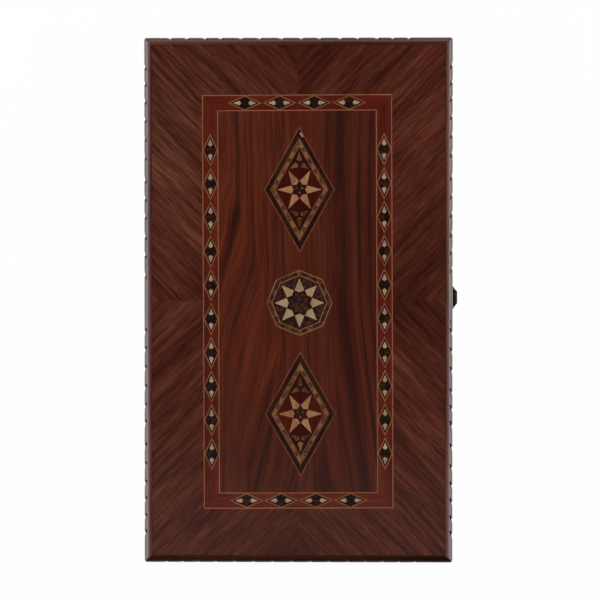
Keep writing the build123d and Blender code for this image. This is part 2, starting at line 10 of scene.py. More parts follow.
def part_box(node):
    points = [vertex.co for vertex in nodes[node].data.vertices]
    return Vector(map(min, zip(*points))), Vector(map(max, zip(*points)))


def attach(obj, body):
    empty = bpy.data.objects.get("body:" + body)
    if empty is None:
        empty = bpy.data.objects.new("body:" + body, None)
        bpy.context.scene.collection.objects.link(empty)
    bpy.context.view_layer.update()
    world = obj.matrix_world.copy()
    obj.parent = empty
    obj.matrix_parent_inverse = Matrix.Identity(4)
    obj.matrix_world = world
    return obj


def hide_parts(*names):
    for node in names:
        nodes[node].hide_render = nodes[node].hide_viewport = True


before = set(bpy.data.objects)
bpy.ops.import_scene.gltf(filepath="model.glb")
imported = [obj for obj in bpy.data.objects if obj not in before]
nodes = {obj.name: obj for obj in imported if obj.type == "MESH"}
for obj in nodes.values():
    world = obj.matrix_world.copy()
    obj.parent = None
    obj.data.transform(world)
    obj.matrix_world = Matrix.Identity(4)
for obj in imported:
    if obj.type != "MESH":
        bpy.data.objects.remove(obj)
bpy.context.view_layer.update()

MM = 0.001

# Sizes read from the construction model, in millimetres
low_corner, high_corner = (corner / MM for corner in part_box("lid_rear_wall"))
half_width = high_corner.x
half_length = high_corner.y
closed_height = high_corner.z
lid_joint = low_corner.z
base_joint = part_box("base_rear_wall")[1].z / MM
wall_height = closed_height - lid_joint
wall_thickness = half_length - low_corner.y
inlay_low, inlay_high = (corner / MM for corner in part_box("lid_stringing"))
inlay_x = (inlay_low.x + inlay_high.x) / 2
inlay_y = (inlay_low.y + inlay_high.y) / 2
INLAY_TURN = math.radians(0.25)
BAND_MIDDLE_X = 80.95
BAND_MIDDLE_Y = 185.45
MEDALLION_X = 2.0
MEDALLION_Y = 104.6
CHIP_X = 4.2
CHIP_Y = 155.7
CHIP_SIZE = 2.3
MID_HEIGHT = 39.0


def srgb(red, green, blue):
    """A colour given as it looks on screen, 0 to 255, as the linear values that shaders take."""
    parts = [value / 255 for value in (red, green, blue)]
    return tuple(p / 12.92 if p <= 0.04045 else ((p + 0.055) / 1.055) ** 2.4 for p in parts) + (1.0,)


# Camera straight above the case, as in the photograph
CAMERA_PLACE = Vector((0.022, 0.020, 1.705))
CAMERA_AIM = Vector((0.0016, 0.0004, 0.078))
camera_data = bpy.data.cameras.new("Camera")
camera_data.sensor_width = 36.0
camera_data.lens = 104.73
camera = bpy.data.objects.new("Camera", camera_data)
bpy.context.scene.collection.objects.link(camera)
back = (CAMERA_PLACE - CAMERA_AIM).normalized()
right = Vector((0, 1, 0)).cross(back).normalized()
up = back.cross(right)
camera.matrix_world = Matrix.Translation(CAMERA_PLACE) @ Matrix((right, up, back)).transposed().to_4x4()
bpy.context.scene.camera = camera
bpy.context.scene.view_settings.view_transform = "Standard"


def softbox(name, place, aim, width, height, power, colour=(1.0, 1.0, 1.0)):
    """A soft rectangular lamp that faces a point."""
    lamp = bpy.data.lights.new(name, "AREA")
    lamp.color = colour
    lamp.shape = "RECTANGLE"
    lamp.size = width
    lamp.size_y = height
    lamp.energy = power
    made = bpy.data.objects.new(name, lamp)
    bpy.context.scene.collection.objects.link(made)
    made.location = place
    made.rotation_euler = (Vector(aim) - Vector(place)).to_track_quat("-Z", "Y").to_euler()
    made.visible_camera = False
    return made


COOL = (1.0, 0.965, 1.03)
LAMP_AIM = (0, 0, 0.1)
for side, way, power in (("Left", -1, 38), ("Right", 1, 34.5)):
    softbox(f"{side}_softbox", (way * 1.6, 0.1, 0.62), LAMP_AIM, 2.6, 1.3, power, COOL)
    softbox(f"{side}_high_strip", (way * 0.85, 0.1, 1.5), LAMP_AIM, 2.4, 0.5, 5, COOL)
softbox("Far_softbox", (0, 1.9, 0.95), LAMP_AIM, 2.2, 1.2, 16)
softbox("Near_veil", (0, -0.8, 2.6), (0, -0.24, 0.08), 1.6, 0.75, 0.7)


class Tree:
    """Builds a material's nodes from short calls; a value may be a number, a colour or a node's output."""

    def __init__(self, name):
        self.material = bpy.data.materials.new(name)
        self.material.use_nodes = True
        self.nodes = self.material.node_tree.nodes
        self.links = self.material.node_tree.links
        self.nodes.clear()
        self.place = self.add("ShaderNodeTexCoord").outputs["Object"]

    def add(self, kind, values=None, **settings):
        node = self.nodes.new(kind)
        for key, value in settings.items():
            setattr(node, key, value)
        for key, value in (values or {}).items():
            if isinstance(value, bpy.types.NodeSocket):
                self.links.new(value, node.inputs[key])
            else:
                node.inputs[key].default_value = value
        return node

    def math(self, operation, a, b=0.5, c=0.5, clamp=False):
        values = {0: a, 1: b, 2: c}
        return self.add("ShaderNodeMath", values, operation=operation, use_clamp=clamp).outputs[0]

    def plus(self, a, b):
        return self.math("ADD", a, b)

    def less(self, a, b):
        return self.math("SUBTRACT", a, b)

    def times(self, a, b):
        return self.math("MULTIPLY", a, b)

    def clamp(self, value, low, high):
        """A value moved from the range low to high onto 0 to 1, with soft ends."""
        values = {0: value, 1: low, 2: high, 3: 0.0, 4: 1.0}
        return self.add("ShaderNodeMapRange", values, interpolation_type="SMOOTHSTEP").outputs[0]

    def millimetres(self):
        """The object's own coordinates in millimetres, apart."""
        scaled = self.add("ShaderNodeVectorMath", {0: self.place, "Scale": 1 / MM}, operation="SCALE")
        return self.add("ShaderNodeSeparateXYZ", {0: scaled.outputs[0]}).outputs

    def vector(self, x, y, z=0.0):
        return self.add("ShaderNodeCombineXYZ", {0: x, 1: y, 2: z}).outputs[0]

    def noise(self, vector, detail=2.0, roughness=0.5, scale=1.0, distortion=0.0):
        values = {
            "Vector": vector,
            "Scale": scale,
            "Detail": detail,
            "Roughness": roughness,
            "Distortion": distortion,
        }
        return self.add("ShaderNodeTexNoise", values).outputs["Fac"]

    def streaks(self, along, across, third, length, width, detail=2.0):
        """Noise drawn out along the grain, about -1 to 1."""
        vector = self.vector(self.times(along, 1 / length), self.times(across, 1 / width), third)
        return self.math("MULTIPLY_ADD", self.noise(vector, detail), 4.0, -2.0)

    def ramp(self, value, stops):
        node = self.add("ShaderNodeValToRGB", {0: value})
        stop = node.color_ramp.elements
        while len(stop) < len(stops):
            stop.new(0.5)
        for element, (place, colour) in zip(stop, stops):
            element.position = place
            element.color = colour if len(colour) == 4 else srgb(*colour)
        return node.outputs[0]

    def mix(self, share, a, b, blend="MIX"):
        node = self.add("ShaderNodeMix", {0: share, 6: a, 7: b}, data_type="RGBA", blend_type=blend)
        return node.outputs[2]

    def stripes(self, value, places):
        """Soft stripes at places along a value, each with a half width and a strength."""
        total = 0.0
        for middle, half, strength in places:
            gap = self.math("ABSOLUTE", self.less(value, middle))
            edge = self.less(1.0, self.clamp(gap, 0.1 * half, half))
            total = self.math("MAXIMUM", self.times(edge, strength), total)
        return total

    def patch(self, x, y, middle, reach):
        """A soft oval patch, 1 at its middle and 0 from its reach on."""
        across = self.times(self.less(x, middle[0]), 1 / reach[0])
        upward = self.times(self.less(y, middle[1]), 1 / reach[1])
        away = self.add("ShaderNodeVectorMath", {0: self.vector(across, upward)}, operation="LENGTH")
        return self.less(1.0, self.clamp(away.outputs["Value"], 0.2, 1.0))

    def random(self, vector):
        return self.add("ShaderNodeTexWhiteNoise", {0: vector}, noise_dimensions="3D").outputs["Value"]

    def island(self):
        """A number from 0 to 1 that is the same all over one face of one piece."""
        return self.add("ShaderNodeNewGeometry").outputs["Random Per Island"]

    def bump(self, height, distance, strength=1.0):
        values = {"Height": height, "Distance": distance, "Strength": strength}
        return self.add("ShaderNodeBump", values).outputs[0]

    def finish(self, values):
        shader = self.add("ShaderNodeBsdfPrincipled", values)
        self.add("ShaderNodeOutputMaterial", {0: shader.outputs[0]})
        return self.material


def grain(tree, along, across, third, width=1.0, bands=0.5, lines=0.5, pores=0.5, dash=0.26, reach=1.0):
    """Tone of wood from 0 to 1 and its pores from 0 to 1, in directions along and across the grain."""
    drift = tree.noise(tree.vector(tree.times(along, 1 / 90), tree.times(across, 1 / 60), third), 1.0)
    across = tree.math("MULTIPLY_ADD", drift, 9.0 * width, across)
    broad = tree.streaks(along, across, third, 260 * reach, 17 * width)
    middle = tree.streaks(along, across, third, 110 * reach, 4.2 * width)
    fine = tree.streaks(along, across, third, 34 * reach, 1.25 * width, 3.0)
    tone = tree.math("MULTIPLY_ADD", broad, 0.5 * bands, 0.5)
    tone = tree.math("MULTIPLY_ADD", middle, 0.42 * lines, tone)
    tone = tree.math("MULTIPLY_ADD", fine, 0.4 * lines, tone)
    dashes = tree.streaks(along, across, third, 20 * dash, dash, 1.0)
    density = tree.math("MULTIPLY_ADD", middle, -0.25, 0.42)
    open_pores = tree.clamp(dashes, density, tree.plus(density, 0.35))
    return tone, tree.times(open_pores, pores)


def lacquered(tree, colour, tone, pores, polish=0.22, coat=0.6, coat_polish=0.15, shine=0.35):
    """Wood under a thin lacquer that sinks a little into the pores."""
    colour = tree.mix(pores, colour, tree.mix(0.72, colour, (0.004, 0.002, 0.0015, 1)))
    x, y, z = tree.millimetres()
    hand = tree.noise(tree.vector(tree.times(x, 1 / 45), tree.times(y, 1 / 45), tree.times(z, 1 / 45)), 3.0)
    rough = tree.math("MULTIPLY_ADD", hand, 0.1, polish - 0.05)
    rough = tree.math("MULTIPLY_ADD", pores, 0.05, rough)
    height = tree.math("MULTIPLY_ADD", tone, 0.25, tree.math("MULTIPLY_ADD", pores, -1.0, 1.0))
    values = {
        "Base Color": colour,
        "Roughness": rough,
        "Specular IOR Level": shine,
        "Coat Weight": coat,
        "Coat Roughness": coat_polish,
        "Normal": tree.bump(height, 0.000015),
    }
    return tree.finish(values)


def inlay_parts(tree):
    """Coordinates about the inlay's centre, turned with it."""
    x, y, z = tree.millimetres()
    from_x = tree.less(x, inlay_x)
    from_y = tree.less(y, inlay_y)
    sine = math.sin(INLAY_TURN)
    turned_x = tree.math("MULTIPLY_ADD", from_y, sine, from_x)
    turned_y = tree.math("MULTIPLY_ADD", from_x, -sine, from_y)
    return turned_x, turned_y, z


def above(tree, value, edge):
    """1 where a value is more than an edge, 0 elsewhere."""
    return tree.math("GREATER_THAN", value, edge)


# Darker areas of the outer field: their middles, reaches and strengths; the one along the front edge is
# painted shade
DARK_AREAS = (
    ((118, 5), (55, 140), 1.0),
    ((0, 226), (120, 50), 1.0),
    ((0, -222), (120, 48), 1.0),
    ((-118, -90), (50, 90), 0.35),
)
# Paler area at the upper left of the field, a painted sheen: its middle and reach
PAINTED_SHEEN_AREA = ((-115, 150), (85, 110))


def field_walnut():
    """Four leaves of walnut whose grain runs out from the middle of the case."""
    tree = Tree("Field_walnut")
    x, y, z = tree.millimetres()
    across_x = tree.math("ABSOLUTE", x)
    across_y = tree.math("ABSOLUTE", y)
    slope = math.radians(45)
    cosine = math.cos(slope)
    sine = math.sin(slope)
    along = tree.plus(tree.times(across_x, cosine), tree.times(across_y, sine))
    across = tree.less(tree.times(across_y, cosine), tree.times(across_x, sine))
    third = tree.plus(tree.times(above(tree, x, 0), 0.55), tree.times(above(tree, y, 0), 0.4))
    third = tree.plus(third, tree.times(above(tree, z, MID_HEIGHT), 5.0))
    tone, pores = grain(tree, along, across, third, 1.0, 0.5, 0.75, 0.85, 0.5, 0.55)
    colour = tree.ramp(
        tone,
        [
            (0.0, (44, 16, 6)),
            (0.3, (62, 25, 12)),
            (0.5, (76, 34, 19)),
            (0.72, (88, 43, 28)),
            (1.0, (106, 58, 42)),
        ],
    )
    dark = 0.0
    for middle, reach, strength in DARK_AREAS:
        dark = tree.math("MAXIMUM", dark, tree.times(tree.patch(x, y, middle, reach), strength))
    # Darkens the field in those areas, with painted shade along the front edge
    colour = tree.mix(dark, colour, tree.mix(1.0, colour, (0.74, 0.66, 0.6, 1), "MULTIPLY"))
    # Painted sheen: the field goes paler and less red towards the upper left
    pale = tree.patch(x, y, *PAINTED_SHEEN_AREA)
    colour = tree.mix(pale, colour, tree.mix(1.0, colour, (1.2, 1.5, 1.6, 1), "MULTIPLY"))
    hue = tree.clamp(tree.streaks(along, across, tree.plus(third, 3.0), 150, 11), -0.9, 0.9)
    colour = tree.mix(tree.times(hue, 0.35), colour, tree.mix(1.0, colour, (1.04, 0.80, 0.92, 1), "MULTIPLY"))
    return lacquered(tree, colour, tone, pores)


# Figure of the centre veneer: middles of its stripes, half widths and strengths, in millimetres from the seam
DARK_STRIPES = (
    (-56.0, 3.4, 0.8),
    (-43.0, 1.9, 0.55),
    (-28.5, 1.2, 0.35),
    (-20.0, 1.4, 0.5),
    (-14.0, 2.0, 0.55),
    (-6.0, 1.1, 0.35),
    (9.0, 1.7, 0.35),
    (16.5, 1.3, 0.35),
    (30.0, 1.1, 0.4),
    (41.0, 9.0, 0.85),
    (58.3, 1.8, 0.8),
    (68.0, 2.2, 0.55),
)
LIGHT_STRIPES = (
    (-65.0, 6.0, 0.3),
    (-49.5, 3.0, 0.4),
    (-34.0, 5.0, 0.35),
    (-10.0, 2.0, 0.3),
    (25.0, 3.0, 0.3),
    (53.2, 2.8, 0.8),
    (63.0, 2.4, 0.4),
)


def centre_rosewood():
    """Two leaves of streaked veneer: the left one's stripes flare out downwards, the right one is darker."""
    tree = Tree("Centre_rosewood")
    x, y, z = inlay_parts(tree)
    right_leaf = above(tree, x, 0)
    third = tree.plus(tree.times(right_leaf, 3.7), tree.times(above(tree, z, MID_HEIGHT), 9.0))
    flare = tree.plus(tree.math("MULTIPLY_ADD", x, -4.0, -131.0), tree.times(y, -1.0))
    flare = tree.times(tree.math("MINIMUM", tree.math("MAXIMUM", flare, 0.0), 210.0), 0.125)
    drift = tree.times(tree.math("MAXIMUM", tree.times(y, -1.0), 0.0), -0.11)
    drift = tree.times(drift, tree.clamp(x, 12, 50))
    bend = tree.noise(tree.vector(tree.times(x, 1 / 70), tree.times(y, 1 / 120), third), 1.0)
    figure = tree.math("MULTIPLY_ADD", bend, 7.0, tree.plus(x, tree.plus(flare, drift)))
    figure = tree.plus(figure, -3.5)
    tone, pores = grain(tree, y, figure, third, 1.0, 0.45, 0.6, 0.7)
    fade = tree.vector(tree.times(figure, 1 / 9), tree.times(y, 1 / 85), tree.plus(third, 2.0))
    fade = tree.noise(fade, 2.0)
    fade = tree.clamp(fade, 0.28, 0.56)
    colour = tree.ramp(
        tone,
        [
            (0.0, (48, 16, 6)),
            (0.3, (64, 24, 10)),
            (0.5, (79, 31, 14)),
            (0.72, (90, 38, 18)),
            (1.0, (106, 48, 25)),
        ],
    )
    light = tree.times(tree.stripes(figure, LIGHT_STRIPES), fade)
    colour = tree.mix(light, colour, srgb(98, 42, 27))
    low = tree.times(tree.patch(x, y, (-38, -150), (55, 75)), 0.35)
    colour = tree.mix(low, colour, srgb(46, 17, 11))
    shade = tree.times(tree.clamp(x, -5, 40), 0.34)
    colour = tree.mix(shade, colour, srgb(46, 17, 11))
    dark = tree.times(tree.stripes(figure, DARK_STRIPES), tree.math("MULTIPLY_ADD", fade, 0.6, 0.4))
    colour = tree.mix(tree.times(dark, 0.95), colour, srgb(38, 13, 10))
    return lacquered(tree, colour, tone, pores)


def padauk():
    """Red-brown border veneer, its grain along each side of the frame."""
    tree = Tree("Border_padauk")
    x, y, z = inlay_parts(tree)
    reach_x = tree.less(tree.math("ABSOLUTE", x), BAND_MIDDLE_X)
    reach_y = tree.less(tree.math("ABSOLUTE", y), BAND_MIDDLE_Y)
    on_side = above(tree, reach_x, reach_y)
    along = tree.add("ShaderNodeMix", {0: on_side, 2: x, 3: y}).outputs[0]
    across = tree.add("ShaderNodeMix", {0: on_side, 2: y, 3: x}).outputs[0]
    tone, pores = grain(tree, along, across, tree.times(z, 0.02), 0.9, 0.35, 0.5, 0.9)
    colour = tree.ramp(
        tone,
        [(0.0, (58, 15, 7)), (0.35, (76, 22, 9)), (0.55, (88, 28, 12)), (1.0, (114, 45, 23))],
    )
    return lacquered(tree, colour, tone, pores)


def tiles(
    name, dark, middle, light, lines=0.5, pores=0.5, spread=0.5, turn=False, width=0.5, coat=0.6, tint=None
):
    """Small pieces of one species, each with its own tone; a tint changes those in the rosette."""
    tree = Tree(name)
    x, y = tree.millimetres()[:2]
    along, across = (y, x) if turn else (x, y)
    island = tree.island()
    tone, holes = grain(tree, along, across, tree.times(island, 40.0), width, 0.3, lines, pores)
    tone = tree.plus(tone, tree.math("MULTIPLY_ADD", island, spread, -spread / 2))
    colour = tree.ramp(tone, [(0.05, dark), (0.5, middle), (0.95, light)])
    if tint:
        in_rosette = tree.less(1.0, tree.clamp(tree.math("ABSOLUTE", y), 38, 42))
        colour = tree.mix(in_rosette, colour, tree.mix(1.0, colour, tint, "MULTIPLY"))
    return lacquered(tree, colour, tone, holes, polish=0.27, coat=coat)


def ebony_bands():
    """Near-black veneer of the medallions, browner in places, with a chip near the lid's upper point."""
    tree = Tree("Medallion_ebony")
    x, y, z = inlay_parts(tree)
    tone, pores = grain(tree, y, x, tree.times(tree.island(), 40.0), 0.5, 0.3, 0.5, 0.5)
    colour = tree.ramp(tone, [(0.05, (14, 1, 0)), (0.5, (34, 8, 1)), (0.95, (60, 23, 7))])
    patch = tree.noise(tree.vector(tree.times(x, 1 / 26), tree.times(y, 1 / 60), 7.0), 1.0)
    colour = tree.mix(tree.times(tree.clamp(patch, 0.45, 0.6), 0.75), colour, srgb(48, 21, 3))
    from_x = tree.less(x, CHIP_X)
    from_y = tree.less(y, CHIP_Y)
    along_edge = tree.less(tree.times(from_x, 0.3), tree.times(from_y, 0.54))
    off_edge = tree.plus(tree.times(from_x, 1.3), tree.times(from_y, 0.74))
    from_chip = tree.vector(along_edge, off_edge)
    away = tree.add("ShaderNodeVectorMath", {0: from_chip}, operation="LENGTH").outputs["Value"]
    ragged = tree.noise(tree.vector(x, y, 0.0), 2.0)
    chip = tree.math("LESS_THAN", tree.math("MULTIPLY_ADD", ragged, 1.4, away), CHIP_SIZE)
    chip = tree.times(chip, above(tree, z, MID_HEIGHT))
    colour = tree.mix(chip, colour, srgb(146, 112, 102))
    return lacquered(tree, colour, tone, pores, polish=0.27, coat=0.2)


STAR_END = 18.2
SIDE_SLOPE = 0.577


def ground_veneer():
    """Dark veneer round the stars: browner beside each, redder above and below, near black at the ends."""
    tree = Tree("Ground_veneer")
    x, y = inlay_parts(tree)[:2]
    island = tree.island()
    tone, pores = grain(tree, y, x, tree.times(island, 40.0), 0.5, 0.3, 0.5, 0.5)
    tone = tree.plus(tone, tree.math("MULTIPLY_ADD", island, 0.5, -0.25))
    from_x = tree.math("ABSOLUTE", tree.less(x, MEDALLION_X))
    from_y = tree.math("ABSOLUTE", tree.less(tree.math("ABSOLUTE", y), MEDALLION_Y))
    beside = above(tree, from_x, tree.times(from_y, SIDE_SLOPE))
    red = tree.ramp(tone, [(0.05, (40, 3, 1)), (0.5, (52, 8, 3)), (0.95, (66, 13, 6))])
    brown = tree.ramp(tone, [(0.05, (48, 8, 2)), (0.5, (63, 15, 4)), (0.95, (80, 25, 7))])
    colour = tree.mix(beside, red, brown)
    colour = tree.mix(tree.times(above(tree, from_y, STAR_END), 0.8), colour, srgb(36, 10, 5))
    return lacquered(tree, colour, tone, pores, coat=0.3)


def star_veneer():
    """Pale kites, tan in the medallions and yellower in the rosette."""
    tree = Tree("Star_maple")
    x, y = inlay_parts(tree)[:2]
    island = tree.island()
    tone, pores = grain(tree, y, x, tree.times(island, 40.0), 0.5, 0.3, 0.5, 0.5)
    tone = tree.plus(tone, tree.math("MULTIPLY_ADD", island, 0.4, -0.2))
    tan = tree.ramp(tone, [(0.05, (122, 78, 48)), (0.5, (150, 106, 71)), (0.95, (168, 127, 91))])
    yellow = tree.ramp(tone, [(0.05, (122, 96, 62)), (0.5, (152, 125, 88)), (0.95, (172, 148, 110))])
    in_medallion = tree.clamp(tree.math("ABSOLUTE", y), 40, 44)
    return lacquered(tree, tree.mix(in_medallion, yellow, tan), tone, pores, polish=0.27)


# Triangular grid of the rods: the length of a side, the slant of one axis and the stretch of the other
ROD_SIDE = 2.5
GRID_SLANT = 0.5774
GRID_STRETCH = 1.1547


def mottled_tiles():
    """Dark tiles built up from tiny three-sided rods, seen on end."""
    tree = Tree("Mottled_tiles")
    x, y = tree.millimetres()[:2]
    u = tree.times(tree.less(x, tree.times(y, GRID_SLANT)), 1 / ROD_SIDE)
    v = tree.times(y, GRID_STRETCH / ROD_SIDE)
    cell_u = tree.math("FLOOR", u)
    cell_v = tree.math("FLOOR", v)
    rest_u = tree.math("FRACT", u)
    rest_v = tree.math("FRACT", v)
    upper = above(tree, tree.plus(rest_u, rest_v), 1.0)
    pick = tree.random(tree.vector(cell_u, cell_v, tree.plus(upper, 0.5)))
    edge_u = tree.math("MINIMUM", rest_u, tree.less(1.0, rest_u))
    edge_v = tree.math("MINIMUM", rest_v, tree.less(1.0, rest_v))
    edge_w = tree.math("ABSOLUTE", tree.less(tree.plus(rest_u, rest_v), 1.0))
    edge = tree.math("MINIMUM", tree.math("MINIMUM", edge_u, edge_v), edge_w)
    joint = tree.less(1.0, tree.clamp(edge, 0.02, 0.12))
    blur = tree.noise(tree.vector(tree.times(x, 0.5), tree.times(y, 0.5), 0.0), 3.0)
    tone = tree.plus(tree.times(pick, 0.8), tree.math("MULTIPLY_ADD", blur, 0.8, -0.3))
    colour = tree.ramp(tone, [(0.1, (22, 5, 2)), (0.5, (46, 17, 9)), (0.95, (88, 50, 36))])
    return lacquered(tree, colour, tone, tree.times(joint, 0.75), polish=0.28)


def straight_wood(name, dark, middle, light, axis, lines=0.55, pores=0.8, bands=0.5, coat=0.5, polish=0.3):
    """Solid or veneered wood with its grain along one axis."""
    tree = Tree(name)
    x, y, z = tree.millimetres()
    along, across, depth = {"x": (x, y, z), "y": (y, x, z), "z": (z, x, y)}[axis]
    third = tree.times(depth, 1 / 14)
    tone, holes = grain(tree, along, across, third, 1.0, bands, lines, pores)
    colour = tree.ramp(tone, [(0.05, dark), (0.5, middle), (0.95, light)])
    return lacquered(tree, colour, tone, holes, polish=polish, coat=coat)


# Distance from the middle and height from which the end walls' upper rims are masked: painted shade on the
# front one, less lacquer shine on both
END_RIM_FROM = 238.0
RIM_FROM = 72.0


def carved_walnut(axis):
    """The walls' walnut: stain and painted shade in the cuts, paler along the ridges, painted shade on the
    front wall's upper rim; the end walls' upper rims are duller.
    """
    tree = Tree("Carved_walnut_" + axis)
    x, y, z = tree.millimetres()
    along, across = (x, y) if axis == "x" else (y, x)
    ring = tree.plus(tree.times(z, 0.8), across)
    tone, pores = grain(tree, along, ring, tree.times(tree.less(across, z), 1 / 16), 1.1, 0.5, 0.5, 0.7)
    colour = tree.ramp(
        tone,
        [(0.0, (40, 17, 9)), (0.35, (60, 28, 17)), (0.55, (75, 37, 24)), (1.0, (100, 57, 42))],
    )
    # The cut attribute marks hollows for stain and painted shade, the ridge attribute marks crests that go
    # paler
    cut = tree.add("ShaderNodeAttribute", attribute_name="cut").outputs["Fac"]
    ridge = tree.add("ShaderNodeAttribute", attribute_name="ridge").outputs["Fac"]
    wear_stain_and_shade = tree.noise(tree.vector(tree.times(x, 0.3), tree.times(y, 0.3), tree.times(z, 0.3)), 3.0)
    colour = tree.mix(tree.times(ridge, tree.clamp(wear_stain_and_shade, 0.3, 0.75)), colour, srgb(104, 62, 46))
    # Stain and painted shade: the cuts go towards near black, the deepest holes most
    dark = tree.math("MULTIPLY", cut, tree.math("MULTIPLY_ADD", wear_stain_and_shade, 0.5, 0.7), clamp=True)
    colour = tree.mix(dark, colour, srgb(9, 3, 3))
    coat = 0.66
    shine = 0.31
    if axis == "x":
        rim = above(tree, z, RIM_FROM)
        near = tree.times(above(tree, -END_RIM_FROM, y), rim)
        far = tree.times(above(tree, y, END_RIM_FROM), rim)
        # Painted shade: the front wall's upper rim darkened towards near black
        colour = tree.mix(tree.times(near, 0.6), colour, srgb(20, 8, 6))
        gloss = tree.less(1.0, tree.plus(tree.times(near, 0.8), tree.times(far, 0.4)))
        coat = tree.times(gloss, coat)
        shine = tree.times(gloss, shine)
    pores = tree.math("MAXIMUM", pores, tree.times(dark, 0.6))
    return lacquered(tree, colour, tone, pores, 0.28, coat, 0.2, shine)


def metal(name, clean, worn, dark, rough=0.3, age=0.5, metallic=1.0):
    """Metal with tarnish in patches, fine scratches and duller spots."""
    tree = Tree(name)
    x, y, z = tree.millimetres()
    place = tree.vector(tree.times(x, 0.11), tree.times(y, 0.11), tree.times(z, 0.11))
    patch = tree.clamp(tree.noise(place, 5.0, 0.6), 0.36, 0.64)
    fine = tree.noise(tree.vector(tree.times(x, 1.7), tree.times(y, 1.7), tree.times(z, 1.7)), 4.0, 0.65)
    scratch = tree.noise(tree.vector(tree.times(x, 3.5), tree.times(y, 0.12), tree.times(z, 3.5)), 2.0)
    scratch = tree.clamp(scratch, 0.56, 0.72)
    colour = tree.mix(tree.times(patch, age), srgb(*clean), srgb(*worn))
    colour = tree.mix(tree.times(tree.clamp(fine, 0.5, 0.8), age), colour, srgb(*dark))
    roughness = tree.math("MULTIPLY_ADD", patch, 0.18 * age, rough)
    roughness = tree.math("MULTIPLY_ADD", fine, 0.14, roughness)
    height = tree.math("MULTIPLY_ADD", scratch, -0.6, fine)
    values = {
        "Base Color": colour,
        "Metallic": metallic,
        "Roughness": roughness,
        "Normal": tree.bump(height, 0.00003),
    }
    return tree.finish(values)


# Woods of the small pieces: their dark, middle and light tones
LINE_WOOD = ((101, 57, 35), (135, 84, 56), (163, 111, 79))
FRAME_WOOD = ((92, 50, 28), (124, 76, 46), (150, 100, 68))
DIM_LINE_WOOD = ((72, 38, 24), (100, 60, 40), (128, 84, 60))
MAPLE = ((122, 94, 68), (154, 130, 102), (178, 156, 128))
OLIVE_WOOD = ((76, 42, 18), (114, 72, 38), (150, 106, 66))
EBONY = ((10, 2, 0), (26, 8, 2), (54, 28, 11))
SLIP_WOOD = ((2, 0, 0), (6, 1, 0), (16, 4, 1))
TILE_WOOD = ((60, 34, 14), (98, 62, 30), (126, 88, 56))
GROUND_EBONY = ((14, 4, 2), (32, 11, 7), (48, 21, 13))
INNER_WALNUT = ((58, 32, 20), (92, 56, 36), (120, 80, 54))
POINT_MAPLE = ((150, 112, 72), (184, 148, 104), (206, 174, 132))
POINT_DARK_WOOD = ((40, 14, 9), (66, 25, 16), (88, 38, 24))
PLY = ((120, 86, 56), (158, 122, 84), (184, 150, 110))

finishes = {
    "outer_field": field_walnut(),
    "centre_veneer": centre_rosewood(),
    "border_band": padauk(),
    "stringing": tiles("Line_wood", *LINE_WOOD, spread=0.2),
    "lozenge_frames": tiles("Lozenge_frame_wood", *FRAME_WOOD, spread=0.3),
    "medallion_lines": tiles("Medallion_line_wood", *DIM_LINE_WOOD, spread=0.3, tint=(1.6, 1.95, 1.7, 1)),
    "lozenge_grounds": tiles("Lozenge_ebony", *EBONY, spread=0.7, coat=0.2),
    "lozenge_kites": tiles("Lozenge_maple", *MAPLE, spread=0.35),
    "medallion_ebony": ebony_bands(),
    "rope_banding": tiles(
        "Rope_olive_wood", *OLIVE_WOOD, spread=0.5, turn=True, lines=0.9, tint=(0.46, 0.38, 0.34, 1)
    ),
    "rope_slips": tiles("Slip_wood", *SLIP_WOOD, spread=0.4, coat=0.2),
    "medallion_grounds": ground_veneer(),
    "star_kites": star_veneer(),
    "mosaic_tiles": tiles("Olive_tiles", *TILE_WOOD, spread=0.9, turn=True),
    "rosette_ground": tiles("Rosette_ebony", *GROUND_EBONY, spread=0.4, coat=0.3),
    "rosette_tiles": mottled_tiles(),
    "inner_field": straight_wood("Inner_walnut", *INNER_WALNUT, "y"),
    "light_points": tiles("Point_maple", *POINT_MAPLE, turn=True, width=1.0),
    "dark_points": tiles("Point_dark_wood", *POINT_DARK_WOOD, turn=True, width=1.0),
    "panel": straight_wood("Panel_ply", *PLY, "x", coat=0.0, polish=0.6),
}
for half in ("base", "lid"):
    for name, material in finishes.items():
        nodes[f"{half}_{name}"].material_slots[0].material = material

brass = metal("Hinge_brass", (176, 138, 78), (120, 88, 48), (60, 42, 26), 0.30, 0.55)
screw_brass = metal("Screw_brass", (188, 152, 92), (128, 96, 54), (52, 36, 22), 0.26, 0.5)
dark_brass = metal("Blackened_brass", (11, 6, 7), (24, 16, 13), (5, 2, 3), 0.42, 0.6)
steel = metal("Pin_steel", (150, 146, 140), (104, 98, 92), (52, 46, 42), 0.30, 0.5)
metals = {
    "base_hinge_leaves": brass,
    "lid_hinge_leaves": brass,
    "base_hinge_screws": screw_brass,
    "lid_hinge_screws": screw_brass,
    "hinge_pins": steel,
    "latch_plate": dark_brass,
    "latch_plate_nails": dark_brass,
    "hasp_pin": steel,
    "hasp": dark_brass,
    "catch_plate": dark_brass,
    "catch_nails": dark_brass,
}
for name, material in metals.items():
    nodes[name].material_slots[0].material = material


# Carved walls: a section swept along each wall, with a row of overlapping leaves cut into its outside.
# Lengths are in millimetres. A point's length is measured along the section, from the joint of the two halves
# up the outside of the wall and round its rim.
RIM_RADIUS = 6.4
RIM_WIDTH = 7.2
LIP_WIDTH = RIM_WIDTH + 0.24
LIP_LENGTH = wall_height + 3.4
PLAN_RADIUS = 2.5
REBATE = 5.2
OUTSIDE_FROM = 2.6
OUTSIDE_ROWS = 26
RIM_ROWS = 19
STRAIGHT = wall_height - RIM_RADIUS

